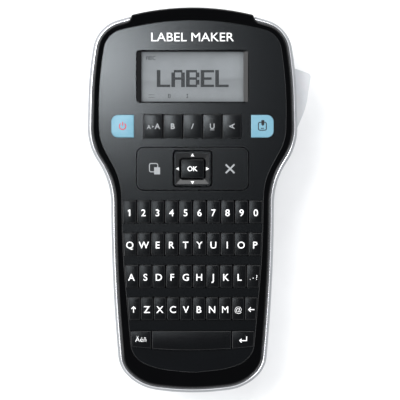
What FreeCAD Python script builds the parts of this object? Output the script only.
import FreeCAD, Part
import math
import os
import re
from types import SimpleNamespace

# Hand-held label maker, in millimetres.
# Row frame: the flat back lies on z = 0, +Y runs from the grip up to the head, +X is the cutter side.
# The face is tilted about X, so the head is thicker than the grip. Pieces that belong to the face are
# drawn in the face frame, whose z = 0 is the top of the black frame, and then placed on the tilt.

SIZES = {
    # case
    "face_tilt": 5.0,            # degrees between the face and the flat back
    "face_height": 39.0,         # face above the back, at the origin
    "wall": 2.1,
    "back_t": 2.2,               # thickness of the back
    "back_round": 7.0,           # edge between the side walls and the back
    "rim_overhang": 2.6,         # silver wall beyond the black frame
    "rim_drop": 2.6,             # top of the silver wall below the face
    "rim_gap": 0.5,              # between the frame's skirt and the silver wall
    "frame_plate": 2.4,          # top plate of the front housing
    "frame_round": 1.0,
    "skirt_depth": 8.5,
    "trim_width": 1.25,
    "trim_drop": 0.8,            # top of the bright band below the face
    "trim_depth": 5.0,           # bottom of the bright band below the face
    "trim_round": 0.5,
    "slide_gap": 0.1,            # clearance round parts that are pushed in and stay
    "hood_lift": 0.3,            # hood clear of the surface the back rests on
    # outline of the black frame, right-hand half, from crown to tail
    "crown_y": 100.1,
    "crown_rise": 7.9,
    "crown_half": 32.9,
    "crown_round": 137.0,
    "crown_corner": 1.3,
    "notch_out": 1.1,
    "notch_drop": 3.6,
    "notch_round": 3.5,
    "head_half": 54.35,
    "shoulder_in": 4.75,
    "shoulder_drop": 8.15,
    "shoulder_round": 16.0,
    "side_in": 0.9,
    "side_drop": 31.9,
    "side_round": 197.0,
    "hip_y": 30.7,
    "hip_round": 30.3,
    "waist_half": 41.5,
    "waist_y": 10.5,
    "waist_round": 43.0,
    "grip_half": 41.3,
    "grip_y": -40.0,
    "grip_round": 900.0,
    "heel_in": 4.2,
    "heel_up": 12.1,
    "heel_round": 14.1,
    "toe_in": 14.2,
    "toe_up": 2.4,
    "toe_round": 24.3,
    "tail_sag": 0.8,
    "tail_round": 130.0,
    # face panel, inside that outline
    "brow_gap": 3.0,
    "brow_half": 20.1,
    "brow_round": 147.0,
    "panel_shoulder_in": 7.5,
    "panel_shoulder_drop": 10.3,
    "panel_shoulder_round": 12.4,
    "panel_side_in": 3.1,
    "panel_side_round": 216.0,
    "panel_hip_in": 3.9,
    "panel_hip_up": 1.7,
    "panel_hip_round": 24.9,
    "panel_waist_in": 2.8,
    "panel_waist_round": 35.3,
    "panel_grip_in": 3.5,
    "panel_grip_round": 383.0,
    "panel_heel_in": 8.45,
    "panel_heel_up": 15.9,
    "panel_heel_round": 13.4,
    "panel_toe_half": 19.2,
    "panel_toe_up": 10.3,
    "panel_toe_round": 45.0,
    "panel_tail_up": 8.2,
    "panel_proud": 0.3,
    "panel_sink": 1.0,
    "panel_bevel": 0.3,
    "panel_edge": 0.4,           # strip of panel left at the ends of the key rows
    # down the face
    "brand_band": 19.1,          # crown corners to the display recess
    "window_w": 61.0,
    "window_l": 28.6,
    "window_corner": 2.2,
    "view_w": 53.6,
    "view_l": 26.5,
    "glass_t": 1.1,
    "glass_lap": 2.0,            # glass beyond the view, all round
    "module_t": 3.2,
    "window_to_format": 6.0,
    "format_w": 53.1,
    "format_l": 13.2,
    "format_to_nav": 4.5,
    "nav_w": 61.1,
    "nav_l": 23.7,
    "nav_corner": 4.2,
    "nav_to_digits": 5.15,
    "row_pitch": 17.4,
    "slot_l": 12.5,
    "slot_corner": 0.7,
    "space_l": 10.9,
    "space_bow": 2.2,            # lower edge of the space row, lower at its middle
    "space_bow_round": 260.0,
    "chin": 20.15,               # space row to the tail
    "digits_inset": 3.5,         # each row's end, inside grip_half
    "top_inset": 3.8,
    "home_inset": 5.0,
    "bottom_inset": 6.1,
    "space_inset": 7.6,
    # keys
    "key_top": 1.3,
    "key_round": 0.45,
    "key_corner": 0.6,
    "key_gap": 0.4,              # between neighbouring keys
    "slot_gap": 0.2,             # between a key and its slot
    "key_lift": 0.1,             # flange below the top plate
    "flange": 0.7,
    "flange_t": 1.0,
    "key_foot": 4.6,             # underside of the keys below the face
    "mat_depth": 5.8,
    "mat_t": 1.2,
    "dome_r": 2.4,
    "dome_rise": 0.2,
    "board_depth": 7.2,
    "board_t": 1.6,
    "board_half": 40.5,
    "board_inset": 2.7,
    "board_top_gap": 9.0,
    "button_w": 12.2,
    "button_apart": 5.05,
    "button_outer": 3.7,
    "ring_w": 19.6,
    "ring_l": 18.3,
    "ring_gap": 0.8,
    "ring_corner": 2.0,
    "ring_top": 1.5,
    "ring_dish": 1.7,
    "ring_rim": 0.9,
    "ok_w": 12.3,
    "ok_l": 10.1,
    "ok_top": 0.9,
    "rocker_top": 0.55,
    "rocker_tab": 6.0,
    "accent_w": 11.4,
    "return_w": 12.4,
    # cassette and print mechanism, laid out from the platen roller
    "cassette_x": -8.5,
    "cassette_y": 58.5,
    "cassette_z": 5.0,
    "cassette_w": 57.0,
    "cassette_l": 50.0,
    "cassette_t": 18.0,
    "cassette_round": 6.0,
    "head_notch_w": 16.0,
    "head_notch_l": 17.5,
    "platen_x": 14.0,
    "platen_y": 74.5,
    "platen_r": 4.5,
    "tape_gap": 0.2,
    "print_head_t": 2.4,
    "print_head_w": 11.0,
    "shaft_r": 1.5,
    "motor_shaft_r": 1.0,
    "spindle_r": 2.4,
    "reel_hub_r": 4.2,
    "running_gap": 0.05,
    "gear_module": 0.8,
    "gear_t": 3.5,
    "gear_gap": 0.5,
    "backlash": 0.16,
    "idler_bearing": -40.0,      # direction of each gear from the one that drives it, in degrees
    "pinion_bearing": -60.0,
    "spindle_bearing": 215.0,
    "chassis_gap": 0.4,
    "chassis_t": 1.6,
    "chassis_left": 40.8,
    "chassis_right": 40.8,
    "chassis_low": 17.8,
    "chassis_high": 90.0,
    "motor_r": 7.6,
    "motor_l": 15.0,
    "exit_w": 5.6,
    "exit_l": 16.0,
    # cutter
    "lever_x": 50.0,
    "lever_y": 33.5,
    "lever_depth": 12.0,         # top of the lever below the face
    "lever_foot": 2.6,          # lever below the blade's carriage
    "lever_pin_r": 1.6,
    "knuckle_r": 3.4,
    "lever_reach": 14.6,         # top corner of the lever beyond its pivot
    "lever_rise": 35.1,
    "lever_bend_out": 11.9,
    "lever_bend_up": 16.8,
    "lever_slot_gap": 0.5,
    "tab_reach": 8.7,
    "tab_y": 31.5,
    "tab_l": 6.0,
    "blade_y": 93.0,
    "blade_t": 2.0,
    "blade_drop": 4.0,           # height of the blade's carriage
    "blade_clear": 4.0,          # blade's edge beside the tape
    "carriage_w": 4.0,
    "push_gap": 0.3,
    # doors on the back
    "door_w": 76.0,
    "door_top": 88.0,
    "door_round": 6.0,
    "door_gap": 0.35,
    "door_sink": 0.3,            # doors clear of the surface the back rests on
    "door_t": 1.8,
    "hinge_y": 22.8,
    "hinge_z": 1.5,
    "barrel_r": 1.15,
    "hinge_pin_r": 0.7,
    "hinge_pin_l": 2.0,
    "hinge_gap": 0.5,
    "scoop_w": 16.0,
    "scoop_l": 4.0,
    "scoop_t": 0.7,
    "cell_r": 5.25,
    "cell_l": 43.5,
    "nub_r": 1.9,
    "nub_l": 1.0,
    "cell_gap": 0.4,             # between neighbouring cells
    "cells_y": -48.0,
    "cell_lift": 0.5,            # cells above their cover
    "contact_t": 0.5,
    "contact_w": 8.0,
    "contact_gap": 2.6,          # room for the springs
    "ledge": 1.2,
    "tray_wall": 1.6,
    # power inlet and screws
    "jack_rise": 0.083,          # jack's middle above the end of the hip's curve
    "jack_z": 16.0,
    "jack_r": 4.2,
    "jack_bore": 2.8,
    "jack_depth": 9.5,
    "jack_body": 9.4,
    "jack_room": 1.3,            # between the wall and the jack's body
    "screw_r": 1.25,
    "screw_head_r": 2.4,
    "screw_head_t": 1.6,
    "screw_l": 12.0,
    "boss_r": 3.2,
    "boss_l": 6.0,
    "boss_sink": 2.6,
    "head_screw_x": 44.5,
    "head_screw_y": 80.0,
    "tail_screw_x": 26.0,
    "tail_screw_up": 11.5,
}

# Places that follow from the sizes above.
PLACES = {
    "window_y": "crown_y - brand_band - window_l / 2",
    "format_y": "window_y - window_l / 2 - window_to_format - format_l / 2",
    "button_x": "format_w / 2 + button_apart + button_w / 2",
    "nav_y": "format_y - format_l / 2 - format_to_nav - nav_l / 2",
    "digits_y": "nav_y - nav_l / 2 - nav_to_digits - slot_l / 2",
    "space_y": "digits_y - 4 * row_pitch",
    "space_half": "grip_half - space_inset",
    "tail_y": "space_y - space_l / 2 - chin",
    "tail_screw_y": "tail_y + tail_screw_up",
    "chassis_z": "cassette_z + cassette_t + chassis_gap",
    "gear_z": "chassis_z + chassis_t + gear_gap",
    "gear_top": "gear_z + gear_t",
    "exit_x": "platen_x - platen_r",
    "exit_z": "cassette_z + cassette_t / 2 - exit_l / 2",
    "carriage_z": "chassis_z - slide_gap - blade_drop",
    "carriage_x": "lever_x - tab_reach - push_gap - carriage_w / 2",
    "carriage_drop": "face_height + (lever_y + tab_y) * tan(face_tilt) - carriage_z",
    "lever_t": "carriage_drop + lever_foot - lever_depth",
    "door_y": "(hinge_y + door_top) / 2",
    "door_l": "door_top - hinge_y",
    "cell_pitch": "2 * cell_r + cell_gap",
    "hip_slope": "(head_half - waist_half) / (hip_y - waist_y)",
    "side_slope": "side_in / (crown_y - side_drop - hip_y)",
    "hip_run": "hip_round * tan((atan(hip_slope) + atan(side_slope)) / 2)",
    "jack_y": "hip_y + hip_run + jack_rise",
    "jack_front": "-(head_half + rim_overhang)",
    "jack_nose": "rim_overhang - rim_gap + jack_room",
    "bay_w": "5 * cell_pitch + 2 * cell_r + 1",
    "bay_l": "cell_l + nub_l + 2 * (contact_gap + contact_t)",
    "cover_w": "bay_w + 2 * ledge",
    "cover_l": "bay_l + 2 * ledge",
    "bay_top": "door_sink + door_t + cell_lift + 2 * cell_r + 0.6",
    "cell_z": "door_sink + door_t + cell_lift + cell_r",
}

TEETH = {"pinion": 12, "idler": 28, "platen": 16, "spindle": 26}
DIGITS = "1234567890"
TOP_LETTERS = "QWERTYUIOP"
FORMATS = ["size", "bold", "italic", "underline", "vertical"]
DEEP = 70                        # longer than the case is deep, for cuts that run right through

doc = FreeCAD.newDocument("label_maker")


def fill_sheet(name, cells, start=""):
    sheet = doc.addObject("Spreadsheet::Sheet", name)
    for line, (alias, content) in enumerate(cells.items(), start=1):
        sheet.set(f"A{line}", alias)
        sheet.set(f"B{line}", start + spelled(content))
        sheet.setAlias(f"B{line}", alias)
        doc.recompute()
    return sheet


def spelled(formula):
    """Turns the names in a formula into references to their cells."""

    def cell(match):
        word = match.group()
        if word in SIZES:
            return "Sizes." + word
        if word in PLACES:
            return "Places." + word
        return word

    return re.sub(r"[a-z_]\w*", cell, str(formula))


sizes = fill_sheet("Sizes", SIZES)
places = fill_sheet("Places", PLACES, start="=")
S = SimpleNamespace(**{alias: float(sizes.get(alias)) for alias in SIZES})
S.__dict__.update({alias: float(places.get(alias)) for alias in PLACES})


# ---------------------------------------------------------------- helpers

def bind(obj, **formulas):
    """Binds an object's properties to formulas; at_x stands for Placement.Base.x."""
    for prop, formula in formulas.items():
        if prop.startswith("at_"):
            prop = "Placement.Base." + prop[-1]
        obj.setExpression(prop, spelled(formula))


def box(name, x, y, low, width, length, height):
    """A box centred on x and y, standing on z = low."""
    solid = doc.addObject("Part::Box", name)
    bind(solid, Length=width, Width=length, Height=height)
    bind(solid, at_x=f"({x}) - ({width}) / 2", at_y=f"({y}) - ({length}) / 2", at_z=low)
    solid.recompute()
    return solid


def rod(name, x, y, z, radius, length, axis="Z"):
    """A cylinder that starts at x, y, z and runs along an axis."""
    solid = doc.addObject("Part::Cylinder", name)
    turns = {"Z": (0, 0, 1, 0), "X": (0, 1, 0, 90), "Y": (1, 0, 0, -90)}
    *about, angle = turns[axis]
    solid.Placement.Rotation = FreeCAD.Rotation(FreeCAD.Vector(*about), angle)
    bind(solid, Radius=radius, Height=length, at_x=x, at_y=y, at_z=z)
    solid.recompute()
    return solid


def frustum(name, x, y, low, height, low_w, low_l, top_w, top_l):
    """A block whose lower rectangle grows to its upper one."""
    solid = doc.addObject("Part::Wedge", name)
    solid.Placement.Rotation = FreeCAD.Rotation(FreeCAD.Vector(1, 0, 0), 90)
    bind(solid, Ymin=0, Ymax=height)
    bind(solid, Xmin=f"-({low_w}) / 2", Xmax=f"({low_w}) / 2")
    bind(solid, Zmin=f"-({low_l}) / 2", Zmax=f"({low_l}) / 2")
    bind(solid, X2min=f"-({top_w}) / 2", X2max=f"({top_w}) / 2")
    bind(solid, Z2min=f"-({top_l}) / 2", Z2max=f"({top_l}) / 2")
    bind(solid, at_x=x, at_y=y, at_z=low)
    solid.recompute()
    return solid


def soften(name, base, radius, chosen, kind="Part::Fillet"):
    """Rounds, or chamfers, the edges of base that a test picks."""
    feature = doc.addObject(kind, name)
    feature.Base = base
    picked = [n for n, edge in enumerate(base.Shape.Edges, start=1) if chosen(edge)]
    feature.Edges = [(n, radius, radius) for n in picked]
    feature.recompute()
    return feature


def upright(edge):
    """A test for the edges that run along Z."""
    span = edge.BoundBox
    return span.ZLength > 0.01 and span.XLength < 0.001 and span.YLength < 0.001


def level(height):
    """A test for the edges that lie at one height."""
    return lambda edge: abs(edge.BoundBox.ZMin - height) < 0.001 and edge.BoundBox.ZLength < 0.001


def join(name, *solids):
    fused = doc.addObject("Part::MultiFuse", name)
    fused.Shapes = list(solids)
    fused.recompute()
    return fused


def cut(name, base, *tools):
    tool = tools[0] if len(tools) == 1 else join(name + "_tools", *tools)
    result = doc.addObject("Part::Cut", name)
    result.Base = base
    result.Tool = tool
    result.recompute()
    return result


def shared(name, first, second):
    result = doc.addObject("Part::Common", name)
    result.Base = first
    result.Tool = second
    result.recompute()
    return result


def on_face(solid):
    """Places a solid drawn in the face frame on the tilted face."""
    if not solid.Placement.isIdentity():
        holder = doc.addObject("Part::Compound", solid.Name + "_on_face")
        holder.Links = [solid]
        solid = holder
    solid.Placement.Rotation = FreeCAD.Rotation(FreeCAD.Vector(1, 0, 0), S.face_tilt)
    bind(solid, at_z="face_height")
    solid.setExpression("Placement.Rotation.Angle", "Sizes.face_tilt")
    solid.recompute()
    return solid


nodes = []


def node(name, solid):
    """Names a finished piece."""
    solid.Label = name
    nodes.append(solid)
    return solid


# ---------------------------------------------------------------- outlines

def mirrored(right):
    """A whole outline, clockwise, from its right-hand half given from top to bottom."""
    return right + [(-x, y, r) for x, y, r in reversed(right) if x > 0]


def flank():
    """The case's side from shoulder to tail."""
    return [
        (S.head_half - S.shoulder_in, S.crown_y - S.shoulder_drop, S.shoulder_round),
        (S.head_half - S.side_in, S.crown_y - S.side_drop, S.side_round),
        (S.head_half, S.hip_y, S.hip_round),
        (S.waist_half, S.waist_y, S.waist_round),
        (S.grip_half, S.grip_y, S.grip_round),
        (S.grip_half - S.heel_in, S.tail_y + S.heel_up, S.heel_round),
        (S.grip_half - S.toe_in, S.tail_y + S.toe_up, S.toe_round),
        (0, S.tail_y - S.tail_sag, S.tail_round),
    ]


def frame_outline():
    """The black frame, with its raised crown over the tape exit."""
    return mirrored([
        (0, S.crown_y + S.crown_rise, S.crown_round),
        (S.crown_half, S.crown_y, S.crown_corner),
        (S.crown_half + S.notch_out, S.crown_y - S.notch_drop, S.notch_round),
    ] + flank())


def shell_outline():
    """The silver wall's line: the shoulders carried on over the top, with no crown."""
    foot_x, foot_y = S.crown_half + S.notch_out, S.crown_y - S.notch_drop
    shoulder_x, shoulder_y, _ = flank()[0]
    slope = (foot_y - shoulder_y) / (shoulder_x - foot_x)
    return mirrored([(0, foot_y + slope * foot_x, S.crown_round)] + flank())


def panel_outline():
    """The glossy panel that carries the display and the keys."""
    brow_y = S.crown_y - S.brow_gap
    return mirrored([
        (S.brow_half, brow_y, S.brow_round),
        (S.head_half - S.panel_shoulder_in, S.crown_y - S.panel_shoulder_drop, S.panel_shoulder_round),
        (S.head_half - S.panel_side_in, S.hip_y + S.side_drop - 1, S.panel_side_round),
        (S.head_half - S.panel_hip_in, S.hip_y + S.panel_hip_up, S.panel_hip_round),
        (S.waist_half - S.panel_waist_in, S.waist_y, S.panel_waist_round),
        (S.grip_half - S.panel_grip_in, S.grip_y + 10, S.panel_grip_round),
        (S.grip_half - S.panel_heel_in, S.tail_y + S.panel_heel_up, S.panel_heel_round),
        (S.panel_toe_half, S.tail_y + S.panel_toe_up, S.panel_toe_round),
        (0, S.tail_y + S.panel_tail_up, S.panel_toe_round),
    ])


def space_outline():
    """The slot of the space row, with a bowed lower edge."""
    top = S.space_y + S.space_l / 2
    end = S.space_y - S.space_l / 2 + S.space_bow
    return mirrored([
        (S.space_half, top, S.slot_corner),
        (S.space_half, end, S.key_corner + 1),
        (0, end - S.space_bow - 1, S.space_bow_round),
    ])


def lever_outline():
    """The cutter lever's paddle, from its pivot to its rounded top corner."""
    x, y = S.lever_x, S.lever_y
    return [
        (x + 1, y + S.lever_rise + 4.9, 1),
        (x + S.lever_reach, y + S.lever_rise, 2.2),
        (x + S.lever_bend_out, y + S.lever_bend_up, 40),
        (x + 4, y - 1.3, 1),
        (x, y - 1, 0.3),
    ]


def grown(outline, distance):
    """An outline with every side moved out by a distance."""
    result = []
    for index, (x, y, radius) in enumerate(outline):
        before = outline[index - 1]
        after = outline[(index + 1) % len(outline)]
        inward = FreeCAD.Vector(x - before[0], y - before[1], 0).normalize()
        onward = FreeCAD.Vector(after[0] - x, after[1] - y, 0).normalize()
        first = FreeCAD.Vector(-inward.y, inward.x, 0)
        second = FreeCAD.Vector(-onward.y, onward.x, 0)
        move = (first + second) * (distance / (1 + first.dot(second)))
        convex = inward.cross(onward).z < 0
        new_radius = radius + distance if convex else radius - distance
        result.append((x + move.x, y + move.y, max(new_radius, 0)))
    return result


def edges_of(outline):
    """Lines and tangent arcs through an outline's points, each corner rounded by its radius.
    Where two neighbouring arcs need more than the side between them, both shrink to share it."""
    points = [FreeCAD.Vector(x, y, 0) for x, y, _ in outline]
    following = points[1:] + points[:1]
    halves = [(points[i - 1] - p).getAngle(following[i] - p) / 2 for i, p in enumerate(points)]
    runs = [radius / math.tan(half) for (_, _, radius), half in zip(outline, halves)]
    room = []
    for index, corner in enumerate(points):
        side = (corner - points[index - 1]).Length
        room.append(min(1, side / max(runs[index] + runs[index - 1], 0.001)))
    spans = []
    for index, corner in enumerate(points):
        back = (points[index - 1] - corner).normalize()
        on = (following[index] - corner).normalize()
        half = halves[index]
        run = runs[index] * min(room[index], room[(index + 1) % len(room)])
        radius = run * math.tan(half)
        middle = corner + (back + on).normalize() * (radius / math.sin(half) - radius)
        spans.append((corner + back * run, middle, corner + on * run, radius))
    edges = []
    for index, (start, middle, end, radius) in enumerate(spans):
        last_end = spans[index - 1][2]
        if (start - last_end).Length > 0.0001:
            edges.append(Part.LineSegment(last_end, start))
        if radius > 0:
            edges.append(Part.ArcOfCircle(start, middle, end))
    return edges


def prism(name, outline, top, depth):
    """A body padded down from the height top by depth, with an outline as its sketch."""
    body = doc.addObject("PartDesign::Body", name)
    sketch = body.newObject("Sketcher::SketchObject", name + "_outline")
    plane = next(f for f in body.Origin.OriginFeatures if f.Role == "XY_Plane")
    sketch.AttachmentSupport = [(plane, "")]
    sketch.MapMode = "FlatFace"
    sketch.setExpression("AttachmentOffset.Base.z", spelled(top))
    for edge in edges_of(outline):
        sketch.addGeometry(edge)
    pad = body.newObject("PartDesign::Pad", name + "_pad")
    pad.Profile = sketch
    pad.Reversed = True
    bind(pad, Length=depth)
    doc.recompute()
    return body


# ---------------------------------------------------------------- keys

def keycap(name, x, y, width, length, top, corner, round_top=True):
    """A cap that runs from above the face down to its foot, with softened corners."""
    cap = box(name + "_block", x, y, "-key_foot", width, length, f"{top} + key_foot")
    shaped = soften(name + "_corners", cap, corner, upright)
    if round_top:
        shaped = soften(name + "_cap", shaped, S.key_round, level(getattr(S, top)))
    return shaped


def key(name, x, y, width, length, top="key_top", corner=None):
    """A key with a flange above and below that holds it under the top plate."""
    cap = keycap(name, x, y, width, length, top, S.key_corner if corner is None else corner)
    low = "-frame_plate - key_lift - flange_t"
    reach = f"({length}) + 2 * flange + 2 * slot_gap"
    flange = box(name + "_flange", x, y, low, width, reach, "flange_t")
    return node(name, on_face(join(name, cap, flange)))


ROWS = [("digits", 0), ("top", 1), ("home", 2), ("bottom", 3)]


def row_place(row, number, column):
    """Centre and width of one of the ten keys in a row."""
    pitch = f"(2 * (grip_half - {row}_inset) / 10)"
    return f"({column} - 4.5) * {pitch}", f"digits_y - {number} * row_pitch", f"{pitch} - key_gap"


def slots(tag, top, depth):
    """The openings that the keys stand in, as solids to cut away."""
    cuts = []
    low = f"{top} - ({depth})"
    inside = prism(f"{tag}_row_limit", grown(panel_outline(), -S.panel_edge), top, depth)
    for row, number in ROWS:
        y = f"digits_y - {number} * row_pitch"
        cuts.append(box(f"{tag}_{row}_slot", 0, y, low, "2 * grip_half", "slot_l", depth))
    rows = shared(f"{tag}_row_slots", join(f"{tag}_row_blocks", *cuts), inside)
    cuts = [rows]
    cuts.append(box(f"{tag}_format_slot", 0, "format_y", low, "format_w", "format_l", depth))
    nav = box(f"{tag}_nav_slot", 0, "nav_y", low, "nav_w", "nav_l", depth)
    cuts.append(soften(f"{tag}_nav_opening", nav, S.nav_corner, upright))
    for side, sign in (("left", -1), ("right", 1)):
        hole = box(f"{tag}_{side}_button_slot", f"{sign} * button_x", "format_y", low,
                   "button_w + 2 * slot_gap", "button_w + 2 * slot_gap", depth)
        cuts.append(button_corners(f"{tag}_{side}_button_opening", hole, sign))
    space = prism(f"{tag}_space_slot", space_outline(), top, depth)
    cuts.append(shared(f"{tag}_space_opening", space, inside))
    return cuts


def button_corners(name, block, sign):
    """Large corners on a side button's outer side, which follows the case."""
    return soften(name, block, S.button_outer,
                  lambda e: upright(e) and sign * e.BoundBox.XMax > S.button_x)


def make_keys():
    inside = prism("row_key_limit", grown(panel_outline(), -S.panel_edge - S.slot_gap), "key_top",
                   "key_top + key_foot")
    for row, number in ROWS:
        made = []
        for column in range(10):
            x, y, width = row_place(row, number, column)
            name = f"{row}_{column}"
            low = "-frame_plate - key_lift - flange_t"
            if column in (0, 9):
                outward = -1 if column == 0 else 1
                block = box(name + "_wide", f"{x} + {outward}", y, "-key_foot", f"{width} + 2",
                            "slot_l - 2 * slot_gap", "key_top + key_foot")
                cap = shared(name + "_end", block, inside)
                cap = soften(name + "_cap", cap, S.key_round, level(S.key_top))
            else:
                cap = keycap(name, x, y, width, "slot_l - 2 * slot_gap", "key_top", S.key_corner)
            flange = box(name + "_flange", x, y, low, f"{width} - 1", "slot_l + 2 * flange", "flange_t")
            made.append(join(name, cap, flange))
        if row in ("digits", "top"):
            for column, solid in enumerate(made):
                label = f"key_{DIGITS[column]}" if row == "digits" else f"key_{TOP_LETTERS[column].lower()}"
                node(label, on_face(solid))
        else:
            strip = doc.addObject("Part::Compound", row + "_strip")
            strip.Links = made
            strip.recompute()
            node(row + "_row_keys", on_face(strip))
    for column, purpose in enumerate(FORMATS):
        x = f"({column} - 2) * format_w / 5"
        key(purpose + "_key", x, "format_y", "format_w / 5 - key_gap", "format_l - 2 * slot_gap")
    for name, sign in (("power_key", -1), ("print_key", 1)):
        block = box(name + "_block", f"{sign} * button_x", "format_y", "-key_foot", "button_w", "button_w",
                    "key_top + key_foot")
        shaped = button_corners(name + "_corners", block, sign)
        cap = soften(name + "_cap", shaped, S.key_round, level(S.key_top))
        low = "-frame_plate - key_lift - flange_t"
        flange = box(name + "_flange", f"{sign} * (button_x - 2)", "format_y", low, "button_w - 4",
                     "button_w + 2 * flange + 2 * slot_gap", "flange_t")
        node(name, on_face(join(name, cap, flange)))


def make_space_row():
    inside = prism("space_row_inside", grown(space_outline(), -S.slot_gap), "key_top", "key_top + key_foot")
    inside = shared("space_row_limit", inside, doc.getObject("row_key_limit"))
    spans = {
        "accent_key": ("-space_half + accent_w / 2", "accent_w"),
        "space_key": ("(accent_w - return_w) / 2", "2 * space_half - accent_w - return_w - 2 * key_gap"),
        "return_key": ("space_half - return_w / 2", "return_w"),
    }
    for name, (x, width) in spans.items():
        block = box(name + "_block", x, "space_y", "-key_foot", width, "2 * space_l", "key_top + key_foot")
        shaped = shared(name + "_shape", block, inside)
        cap = soften(name + "_cap", shaped, S.key_round, level(S.key_top))
        low = "-frame_plate - key_lift - flange_t"
        flange = box(name + "_flange", x, "space_y + space_bow / 2", low, f"{width} - 2 * key_corner - 4",
                     "space_l - space_bow + 2 * flange", "flange_t")
        node(name, on_face(join(name, cap, flange)))


def make_navigation():
    """The menu rocker, the four-way ring in its well and the round-cornered key in the ring."""
    plate = box("rocker_block", 0, "nav_y", "-key_foot", "nav_w - 2 * key_gap", "nav_l - 2 * key_gap",
                "rocker_top + key_foot")
    plate = soften("rocker_corners", plate, S.nav_corner - S.key_gap, upright)
    well = box("rocker_well", 0, "nav_y", "-key_foot - 1", "ring_w + 2 * ring_gap",
               "ring_l + 2 * ring_gap", DEEP)
    plate = cut("rocker_plate", plate, soften("rocker_well_corners", well, S.ring_corner, upright))
    plate = soften("rocker_edge", plate, S.key_round / 2, level(S.rocker_top))
    low = "-frame_plate - key_lift - flange_t"
    tabs = []
    for end, sign in (("upper", 1), ("lower", -1)):
        tabs.append(box(f"rocker_{end}_tab", 0, f"nav_y + {sign} * (nav_l / 2 - 0.5)", low, "rocker_tab",
                        "2 * flange + 1", "flange_t"))
    node("menu_rocker", on_face(join("menu_rocker", plate, *tabs)))

    ring = box("ring_block", 0, "nav_y", "-key_foot", "ring_w", "ring_l", "ring_top + key_foot")
    ring = soften("ring_corners", ring, S.ring_corner - 0.6, upright)
    dish = frustum("ring_dish_cut", 0, "nav_y", "ring_top - ring_dish", "ring_dish", "ok_w + 2 * key_gap",
                   "ok_l + 2 * key_gap", "ring_w - 2 * ring_rim", "ring_l - 2 * ring_rim")
    hole = box("ring_hole", 0, "nav_y", "-key_foot - 1", "ok_w + 2 * key_gap", "ok_l + 2 * key_gap",
               DEEP)
    node("nav_ring", on_face(cut("nav_ring", ring, dish, hole)))

    cap = keycap("ok", 0, "nav_y", "ok_w", "ok_l", "ok_top", S.key_corner)
    node("ok_key", on_face(cap))


# ---------------------------------------------------------------- face and case

def make_face():
    """Front housing, glossy panel, bright band and display."""
    outer = prism("front_block", frame_outline(), 0, "skirt_depth")
    outer = soften("front_edge", outer, S.frame_round, level(0))
    hollow = prism("front_hollow", grown(frame_outline(), -S.wall), "-frame_plate", "skirt_depth")
    recess = prism("panel_recess", grown(panel_outline(), S.slide_gap), 1, "1 + panel_sink")
    view = frustum("view_cut", 0, "window_y", "-frame_plate - 0.5", "frame_plate + 0.5 - panel_sink",
                   "view_w", "view_l", "window_w - 1", "window_l - 1")
    plate = cut("front_plate", outer, hollow, recess, view, *slots("front", 1, "frame_plate + 2"))
    on_face(plate)

    hood_box = box("hood_box", 0, "crown_y + 10", -DEEP, "2 * crown_half", 40, DEEP)
    hood_block = prism("hood_block", frame_outline(), "-frame_plate", DEEP)
    hood_hollow = prism("hood_hollow", grown(frame_outline(), -S.wall), 0, DEEP + 5)
    hood = on_face(cut("hood_wall", shared("hood_part", hood_block, hood_box), hood_hollow))
    below = box("hood_ground", 0, "crown_y", f"hood_lift - {DEEP}", 200, 100, DEEP)
    slot = box("tape_exit", "exit_x", "crown_y + 8", "exit_z", "exit_w", 30, "exit_l")
    hood = cut("hood_cut", hood, below, slot)
    limit = on_face(prism("hood_limit_block", grown(shell_outline(), S.rim_overhang + 1.2), 1, DEEP))
    ground = box("hood_limit_ground", 0, 0, f"hood_lift - {DEEP}", 400, 400, DEEP)
    limit = cut("hood_limit_trimmed", limit, ground)
    limit = soften("hood_limit", limit, S.back_round, level(S.hood_lift))
    hood = shared("hood", hood, limit)

    room = on_face(prism("post_room", frame_outline(), "-frame_plate / 2", DEEP))
    rods = [rod(f"post_{tag}", x, y, "boss_l", "boss_r", DEEP) for tag, x, y in screw_places()]
    posts = shared("posts", join("post_rods", *rods), room)
    holes = [rod(f"post_hole_{tag}", x, y, 0, "screw_r", "boss_sink + screw_head_t + screw_l")
             for tag, x, y in screw_places()]
    posts = cut("screw_posts", posts, *holes)
    node("front_housing", join("front_housing", plate, hood, posts))

    panel = prism("panel_block", panel_outline(), "panel_proud", "panel_proud + panel_sink")
    panel = soften("panel_edge", panel, S.panel_bevel, level(S.panel_proud), "Part::Chamfer")
    window = box("window_slot", 0, "window_y", "-panel_sink - 1", "window_w", "window_l", DEEP)
    window = soften("window_opening", window, S.window_corner, upright)
    node("face_panel", on_face(cut("face_panel", panel, window, *slots("panel", 1, "panel_sink + 2"))))

    glass_low = "-frame_plate - glass_t"
    glass = box("glass_block", 0, "window_y", glass_low, "view_w + 2 * glass_lap", "view_l + 2 * glass_lap",
                "glass_t")
    node("display_window", on_face(glass))
    module = box("module_block", 0, "window_y", "-frame_plate - glass_t - module_t",
                 "view_w + 2 * glass_lap + 2", "view_l + 2 * glass_lap + 3", "module_t")
    node("display_module", on_face(module))

    band = prism("band_block", grown(shell_outline(), S.slide_gap + S.trim_width), "-trim_drop",
                 "trim_depth - trim_drop")
    band = soften("band_edge", band, S.trim_round, level(-S.trim_drop))
    inside = prism("band_inside", grown(frame_outline(), S.slide_gap), 1, "trim_depth + 2")
    gap = box("band_gap", 0, "crown_y + 10", -DEEP, "2 * (crown_half + slide_gap)", 40, 2 * DEEP)
    node("trim_band", on_face(cut("trim_band", band, inside, gap)))


def screw_places():
    """Name and place of each of the four case screws, which stand square to the back."""
    found = []
    for side, sign in (("left", -1), ("right", 1)):
        found.append((f"head_{side}", f"{sign} * head_screw_x", "head_screw_y"))
        found.append((f"tail_{side}", f"{sign} * tail_screw_x", "tail_screw_y"))
    return found


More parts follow.
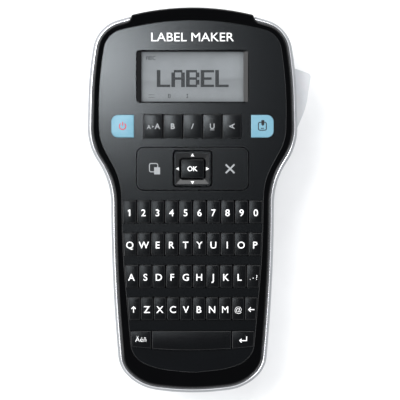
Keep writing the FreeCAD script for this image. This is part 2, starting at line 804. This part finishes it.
def make_case():
    """Rear housing with its doors' openings, trays, bosses and the slot for the cutter lever."""
    ground = box("ground", 0, 0, -DEEP, 400, 400, DEEP)
    block = on_face(prism("rear_block", grown(shell_outline(), S.rim_overhang), "-rim_drop", DEEP))
    block = cut("rear_trimmed", block, ground)
    block = soften("rear_rounded", block, S.back_round, level(0))

    floor_low = box("floor_ground", 0, 0, f"back_t - {DEEP}", 400, 400, DEEP)
    hollow = on_face(prism("rear_hollow", grown(shell_outline(), S.rim_gap), 1, DEEP))
    hollow = cut("rear_hollow_trimmed", hollow, floor_low)
    hollow = soften("rear_hollow_rounded", hollow, S.back_round - S.wall, level(S.back_t))

    band_line = grown(shell_outline(), 2 * S.slide_gap + S.trim_width)
    rabbet = on_face(prism("rabbet", band_line, 1, "1 + trim_depth"))
    skirt_line = grown(frame_outline(), S.rim_gap)
    skirt_room = on_face(prism("skirt_room", skirt_line, 1, "1 + skirt_depth + rim_gap"))

    crown_box = box("crown_box", 0, "crown_y + 10", -DEEP, "2 * (crown_half + slide_gap)", 40, 2 * DEEP)
    hood_inside = grown(frame_outline(), -S.wall - S.slide_gap)
    crown_keep = on_face(prism("crown_keep", hood_inside, DEEP, 2 * DEEP))
    crown_floor = box("crown_floor", 0, "crown_y", -1, 200, 100, "1 + back_t")
    crown = cut("crown_room", on_face(crown_box), shared("crown_floor_kept", crown_keep, crown_floor))

    door = box("door_opening_block", 0, "(door_top + door_gap + hinge_y - barrel_r - hinge_gap) / 2", -1,
               "door_w + 2 * door_gap", "door_l + door_gap + barrel_r + hinge_gap", "1 + back_t + 6")
    door = soften("door_opening", door, S.door_round + S.door_gap,
                  lambda e: upright(e) and e.BoundBox.YMax > S.door_y)
    tray_w, tray_l = "bay_w + 2 * (ledge + tray_wall)", "bay_l + 2 * (ledge + tray_wall)"
    tray = box("tray_block", 0, "cells_y", "back_t / 2", tray_w, tray_l,
               "bay_top + tray_wall - back_t / 2")
    tray = cut("tray", tray, box("bay", 0, "cells_y", 0, "bay_w", "bay_l", "bay_top"))
    opening = box("cover_opening_block", 0, "cells_y", -1, "cover_w + 2 * door_gap", "cover_l + 2 * door_gap",
                  "1 + door_sink + door_t + slide_gap")

    slot = box("lever_slot_block", "lever_x + 15", "lever_y + lever_rise / 2 + 1",
               "-lever_depth - lever_t - lever_slot_gap", 26, "lever_rise + 8",
               "lever_t + 2 * lever_slot_gap")
    slot = on_face(slot)
    jack_hole = rod("jack_hole", -80, "jack_y", "jack_z", "jack_r + slide_gap", 40, "X")

    shell = cut("rear_shell", block, hollow, rabbet, skirt_room, crown, door, slot, jack_hole)

    bosses = []
    holes = []
    for tag, x, y in screw_places():
        bosses.append(rod(f"boss_{tag}", x, y, "back_t / 2", "boss_r + 0.6",
                          "boss_l - back_t / 2 - slide_gap"))
        holes.append(rod(f"boss_hole_{tag}", x, y, -1, "screw_r + slide_gap", 20))
        holes.append(rod(f"boss_sink_{tag}", x, y, -1, "screw_head_r + slide_gap",
                         "1 + boss_sink + screw_head_t"))
    pivot_top = "-lever_depth - lever_t - 2 * slide_gap"
    pivot = rod("pivot_boss", "lever_x", "lever_y", -DEEP, "knuckle_r - 0.4", f"{DEEP} + ({pivot_top})")
    below = box("pivot_ground", "lever_x", "lever_y", f"0.9 * back_t - {DEEP}", 60, 60, DEEP)
    pivot = cut("pivot", on_face(pivot), below)
    pin_hole = on_face(rod("pivot_hole", "lever_x", "lever_y", f"{pivot_top} - 6", "lever_pin_r", 20))
    for side, sign in (("left", -1), ("right", 1)):
        pin_middle = f"{sign} * (door_w / 2 + door_gap + hinge_pin_l / 2)"
        bosses.append(box(f"hinge_ear_{side}", f"{pin_middle} + {sign} * 0.5", "hinge_y", "back_t / 2",
                          "hinge_pin_l + 1", "4 * barrel_r", "hinge_z + barrel_r + 0.6 - back_t / 2"))
        holes.append(rod(f"hinge_hole_{side}", f"{pin_middle} - hinge_pin_l / 2 - 0.4", "hinge_y",
                         "hinge_z", "hinge_pin_r + running_gap", "hinge_pin_l + 0.8", "X"))
    solid = join("rear_filled", shell, tray, pivot, *bosses)
    bay = box("bay_room", 0, "cells_y", 0, "bay_w", "bay_l", "bay_top")
    node("rear_housing", cut("rear_housing", solid, opening, bay, pin_hole, *holes))

    screws = []
    for tag, x, y in screw_places():
        head = rod(f"screw_head_{tag}", x, y, "boss_sink", "screw_head_r", "screw_head_t")
        shank = rod(f"screw_shank_{tag}", x, y, "boss_sink", "screw_r", "screw_head_t + screw_l")
        cross = [box(f"screw_slot_{tag}_{n}", x, y, "boss_sink - 1", w, l, 1.7)
                 for n, (w, l) in enumerate([(0.7, 3), (3, 0.7)])]
        screws.append(cut(f"screw_{tag}", join(f"screw_blank_{tag}", head, shank), *cross))
    group = doc.addObject("Part::Compound", "case_screws")
    group.Links = screws
    node("case_screws", group)


def make_doors():
    plate = box("door_plate", 0, "door_y", "door_sink", "door_w", "door_l", "door_t")
    plate = soften("door_corners", plate, S.door_round,
                   lambda e: upright(e) and e.BoundBox.YMax > S.door_y)
    scoop = box("door_scoop", 0, "door_top - 2 * scoop_l", "door_sink - 1", "scoop_w", "scoop_l",
                "1 + scoop_t")
    plate = cut("door_scooped", plate, scoop)
    barrel = rod("door_barrel", "-door_w / 2", "hinge_y", "hinge_z", "barrel_r", "door_w", "X")
    pin = rod("door_pins", "-door_w / 2 - door_gap - hinge_pin_l", "hinge_y", "hinge_z", "hinge_pin_r",
              "door_w + 2 * (door_gap + hinge_pin_l)", "X")
    node("cassette_door", join("cassette_door", plate, barrel, pin))

    cover = box("cover_plate", 0, "cells_y", "door_sink", "cover_w", "cover_l", "door_t")
    grip_lines = []
    for n in range(4):
        y = f"cells_y - cover_l / 2 + {6 + 2 * n}"
        grip_lines.append(box(f"cover_groove_{n}", 0, y, "door_sink - 1", "scoop_w", 1, "1 + scoop_t"))
    node("battery_cover", cut("battery_cover", cover, *grip_lines))


def make_power():
    cells, contacts = [], []
    for n in range(6):
        x = f"({n} - 2.5) * cell_pitch"
        end = 1 if n % 2 else -1
        base = f"cells_y - cell_l / 2 - {end} * nub_l / 2"
        nub_start = f"{base} + cell_l" if end == 1 else f"{base} - nub_l"
        can = rod(f"cell_can_{n}", x, base, "cell_z", "cell_r", "cell_l", "Y")
        nub = rod(f"cell_nub_{n}", x, nub_start, "cell_z", "nub_r", "nub_l", "Y")
        cells.append(join(f"cell_{n}", can, nub))
        for side, sign in (("low", -1), ("high", 1)):
            place = f"cells_y + {sign} * (bay_l / 2 - contact_t / 2)"
            plate = box(f"contact_{side}_{n}", x, place, "cell_z - contact_w / 2", "contact_w", "contact_t",
                        "contact_w")
            start = f"cells_y + {sign} * (bay_l / 2 - contact_t) - {max(sign, 0)} * contact_gap"
            radius = "nub_r" if sign == end else "nub_r + 1"
            boss = rod(f"contact_tip_{side}_{n}", x, start, "cell_z", radius, "contact_gap", "Y")
            contacts.append(join(f"contact_{side}_{n}_whole", plate, boss))
    for name, parts in (("batteries", cells), ("battery_contacts", contacts)):
        group = doc.addObject("Part::Compound", name)
        group.Links = parts
        node(name, group)

    nose = rod("jack_nose_part", "jack_front", "jack_y", "jack_z", "jack_r", "jack_nose", "X")
    body = box("jack_body_part", "jack_front + jack_nose + jack_body / 2", "jack_y",
               "jack_z - jack_body / 2", "jack_body", "jack_body", "jack_body")
    bore = rod("jack_bore_part", "jack_front - 1", "jack_y", "jack_z", "jack_bore", "jack_depth + 1", "X")
    node("power_jack", cut("power_jack", join("jack_blank", nose, body), bore))


def make_board():
    """Rubber key mat with a dome under each key, and the circuit board below it."""
    inside = grown(frame_outline(), -S.board_inset)
    sheet = prism("mat_sheet", inside, "-mat_depth", "mat_t")
    low = "space_y - space_l / 2 - 2"
    reach = f"(format_y + format_l / 2 + 2) - ({low})"
    window = box("mat_window", 0, f"({low}) + ({reach}) / 2", -DEEP, "2 * board_half + 20", reach, 2 * DEEP)
    mat = shared("mat_blank", sheet, window)
    domes = []
    spots = [row_place(row, number, column)[:2] for row, number in ROWS for column in range(10)]
    spots += [(f"({column} - 2) * format_w / 5", "format_y") for column in range(5)]
    spots += [("-button_x", "format_y"), ("button_x", "format_y"), ("0", "nav_y"), ("0", "space_y")]
    for n, (x, y) in enumerate(spots):
        domes.append(rod(f"dome_{n}", x, y, "-mat_depth - mat_t / 2", "dome_r", "mat_t / 2 + dome_rise"))
    node("key_mat", on_face(join("key_mat", mat, *domes)))

    board = prism("board_sheet", inside, "-board_depth", "board_t")
    reach = f"(crown_y - board_top_gap) - ({low})"
    window = box("board_window", 0, f"({low}) + ({reach}) / 2", -DEEP, "2 * board_half", reach, 2 * DEEP)
    node("main_board", on_face(shared("main_board", board, window)))


# ---------------------------------------------------------------- gears and mechanism

def gear_places():
    """Centre and phase of each gear, so that all of them mesh with the idler at rest."""
    def pitch_r(name):
        return S.gear_module * TEETH[name] / 2

    def step(start, bearing, distance):
        angle = math.radians(bearing)
        return (start[0] + distance * math.cos(angle), start[1] + distance * math.sin(angle))

    platen = (S.platen_x, S.platen_y)
    idler = step(platen, S.idler_bearing, pitch_r("platen") + pitch_r("idler"))
    pinion = step(idler, S.pinion_bearing, pitch_r("idler") + pitch_r("pinion"))
    spindle = step(idler, S.spindle_bearing, pitch_r("idler") + pitch_r("spindle"))
    found = {"idler": (idler, 0.0)}
    bearings = {"platen": S.idler_bearing + 180, "pinion": S.pinion_bearing, "spindle": S.spindle_bearing}
    for name, centre in (("platen", platen), ("pinion", pinion), ("spindle", spindle)):
        along = bearings[name] * TEETH["idler"] / 360 % 1
        phase = bearings[name] + 180 - (0.5 - along) * 360 / TEETH[name]
        found[name] = (centre, phase)
    return found


def gear_outline(name, phase):
    """Points round an involute gear, its teeth thinned by the backlash."""
    teeth = TEETH[name]
    pitch_r = S.gear_module * teeth / 2
    base_r = pitch_r * math.cos(math.radians(20))
    tip_r = pitch_r + 0.9 * S.gear_module
    root_r = pitch_r - 1.25 * S.gear_module
    half_tooth = math.pi / (2 * teeth) - S.backlash / 2 / pitch_r

    def involute(radius):
        return math.sqrt(max((radius / base_r) ** 2 - 1, 0)) - math.acos(min(base_r / radius, 1))

    points = []
    start_r = max(base_r, root_r)
    radii = [start_r + (tip_r - start_r) * step / 4 for step in range(5)]
    for tooth in range(teeth):
        centre = math.radians(phase) + 2 * math.pi * tooth / teeth
        flank_ = [(r, half_tooth + involute(pitch_r) - involute(r)) for r in radii]
        if root_r < start_r:
            flank_.insert(0, (root_r, flank_[0][1]))
        points += [(r, centre - spread) for r, spread in flank_]
        points += [(r, centre + spread) for r, spread in reversed(flank_)]
    return [(r * math.cos(a), r * math.sin(a)) for r, a in points]


def gear(name, low, bore=None):
    """A spur gear as a pad of its outline, at its place in the train."""
    (x, y), phase = gear_places()[name]
    corners = [FreeCAD.Vector(x + px, y + py, 0) for px, py in gear_outline(name, phase)]
    body = doc.addObject("PartDesign::Body", name + "_gear_body")
    sketch = body.newObject("Sketcher::SketchObject", name + "_gear_outline")
    plane = next(f for f in body.Origin.OriginFeatures if f.Role == "XY_Plane")
    sketch.AttachmentSupport = [(plane, "")]
    sketch.MapMode = "FlatFace"
    sketch.setExpression("AttachmentOffset.Base.z", spelled(low))
    for start, end in zip(corners, corners[1:] + corners[:1]):
        sketch.addGeometry(Part.LineSegment(start, end))
    pad = body.newObject("PartDesign::Pad", name + "_gear_pad")
    pad.Profile = sketch
    bind(pad, Length="gear_t")
    doc.recompute()
    if bore:
        return cut(name + "_gear_bored", body, rod(name + "_gear_bore", x, y, -1, bore, DEEP))
    return body


def make_mechanism():
    spots = {name: place for name, (place, _) in gear_places().items()}
    middle = "(chassis_right - chassis_left) / 2"
    high = "chassis_z - back_t + chassis_t / 2"
    plate = box("chassis_plate", middle, "(chassis_low + chassis_high) / 2", "chassis_z",
                "chassis_left + chassis_right", "chassis_high - chassis_low", "chassis_t")
    left = box("chassis_left_wall", "-chassis_left + chassis_t / 2", "(hinge_y + head_screw_y) / 2",
               "back_t", "chassis_t", "head_screw_y - hinge_y - 12", high)
    low = box("chassis_low_wall", middle, "chassis_low + chassis_t / 2", "back_t",
              "chassis_left + chassis_right - 10", "chassis_t", high)
    side_x = "cassette_x + cassette_w / 2 + 2"
    side_end = "(platen_y - head_notch_w / 2)"
    right = box("chassis_right_wall", side_x, f"(chassis_low + {side_end}) / 2", "cassette_z",
                "chassis_t", f"{side_end} - chassis_low", "chassis_z - cassette_z + chassis_t / 2")
    axle = rod("idler_axle", *spots["idler"], "chassis_z", "shaft_r", "gear_top - chassis_z + 0.8")
    holes = [
        rod("platen_hole", *spots["platen"], 0, "shaft_r + running_gap", DEEP),
        rod("spindle_hole", *spots["spindle"], 0, "spindle_r + running_gap", DEEP),
        rod("pinion_hole", *spots["pinion"], 0, "motor_shaft_r + 4 * running_gap", DEEP),
    ]
    plate = cut("chassis_bored", join("chassis_walls", plate, left, low, right), *holes)
    node("mechanism_chassis", join("mechanism_chassis", plate, axle))

    bored = gear("idler", "gear_z", "shaft_r + running_gap")
    node("idler_gear", bored)

    roller = rod("platen_sleeve", "platen_x", "platen_y", "cassette_z + 1", "platen_r", "cassette_t - 2")
    shaft = rod("platen_shaft", "platen_x", "platen_y", "cassette_z - 1", "shaft_r",
                "gear_top - cassette_z + 1.6")
    node("platen_roller", join("platen_roller", roller, shaft, gear("platen", "gear_z")))

    shaft = rod("spindle_shaft", *spots["spindle"], "cassette_z + 2", "spindle_r",
                "gear_top - cassette_z - 2")
    node("ribbon_spindle", join("ribbon_spindle", shaft, gear("spindle", "gear_z")))

    shaft = rod("pinion_shaft", *spots["pinion"], "chassis_z - 3", "motor_shaft_r",
                "gear_top - chassis_z + 3.5")
    node("motor_pinion", join("motor_pinion", shaft, gear("pinion", "gear_z")))

    can = rod("motor_can", *spots["pinion"], "chassis_z - motor_l", "motor_r", "motor_l")
    cap = rod("motor_cap", *spots["pinion"], "chassis_z - motor_l - 1", "motor_r / 2", 2)
    throat = rod("motor_throat", *spots["pinion"], "chassis_z - 4", "motor_shaft_r + 4 * running_gap", 10)
    node("drive_motor", cut("drive_motor", join("motor_blank", can, cap), throat))

    head_x = "exit_x - tape_gap - print_head_t / 2"
    head = box("print_head", head_x, "platen_y", "cassette_z", "print_head_t", "print_head_w",
               "chassis_z - cassette_z")
    node("print_head", head)

    case = box("cassette_block", "cassette_x", "cassette_y", "cassette_z", "cassette_w", "cassette_l",
               "cassette_t")
    case = soften("cassette_case", case, S.cassette_round, upright)
    notch = box("cassette_notch", "cassette_x + cassette_w / 2 - head_notch_w / 2 + 1",
                "cassette_y + cassette_l / 2 - head_notch_l / 2 + 1", 0, "head_notch_w + 2",
                "head_notch_l + 2", DEEP)
    hub = rod("cassette_hub", *spots["spindle"], 0, "reel_hub_r", DEEP)
    reel = rod("cassette_reel", "cassette_x - cassette_w / 6", "cassette_y + cassette_l / 8", 0,
               "reel_hub_r", DEEP)
    label = box("cassette_label", "cassette_x - cassette_w / 8", "cassette_y - cassette_l / 3.4",
                "cassette_z - 1", "cassette_w / 2", "cassette_l / 4", 1.3)
    node("tape_cassette", cut("tape_cassette", case, notch, hub, reel, label))


def make_cutter():
    paddle = prism("paddle", lever_outline(), "-lever_depth", "lever_t")
    top = "-lever_depth - lever_t"
    knuckle = rod("knuckle", "lever_x", "lever_y", top, "knuckle_r", "lever_t")
    reach = "tab_reach + 2"
    tab = box("lever_tab", f"lever_x - tab_reach + ({reach}) / 2", "lever_y + tab_y",
              "0.5 - carriage_drop", reach, "tab_l", "blade_drop - 1")
    bore = rod("lever_bore", "lever_x", "lever_y", -DEEP, "lever_pin_r + running_gap", DEEP)
    node("cutter_lever", on_face(cut("cutter_lever", join("lever_blank", paddle, knuckle, tab), bore)))
    pin = rod("lever_pin_rod", "lever_x", "lever_y", f"{top} - 6", "lever_pin_r", "lever_t + 7")
    node("lever_pin", on_face(pin))

    low_y = "lever_y + tab_y - tab_l / 2"
    upright_l = f"blade_y + blade_t / 2 - ({low_y})"
    arm = box("carriage_arm", "carriage_x", f"({low_y}) + ({upright_l}) / 2", "carriage_z", "carriage_w",
              upright_l, "blade_drop")
    edge_x = "exit_x + blade_clear"
    span = f"carriage_x - ({edge_x})"
    beam = box("carriage_beam", f"({edge_x}) + ({span}) / 2", "blade_y", "carriage_z", span, "blade_t",
               "blade_drop")
    blade_h = "carriage_z + blade_drop / 2 - exit_z"
    blade = box("blade_part", f"({edge_x}) + 2", "blade_y", "exit_z", 4, "blade_t / 2", blade_h)
    cutting_x = S.exit_x + S.blade_clear + 1
    edge = soften("blade_edge", blade, S.blade_t / 5,
                  lambda e: upright(e) and e.BoundBox.XMax < cutting_x, "Part::Chamfer")
    node("cutter_blade", join("cutter_blade", arm, beam, edge))


make_face()
make_keys()
make_space_row()
make_navigation()
make_board()
make_case()
make_doors()
make_power()
make_mechanism()
make_cutter()
doc.recompute()

for obj in doc.Objects:
    if "Invalid" in obj.State or "Error" in obj.State:
        raise RuntimeError(f"{obj.Label} did not build: {obj.State}")
for piece in nodes:
    if piece.Shape.isNull() or not piece.Shape.isValid() or not piece.Shape.Solids:
        raise RuntimeError(f"{piece.Label} has no valid solid")

os.makedirs("parts", exist_ok=True)
for piece in nodes:
    piece.Shape.exportStep(f"parts/{piece.Label}.step")
print(len(nodes), "nodes written")
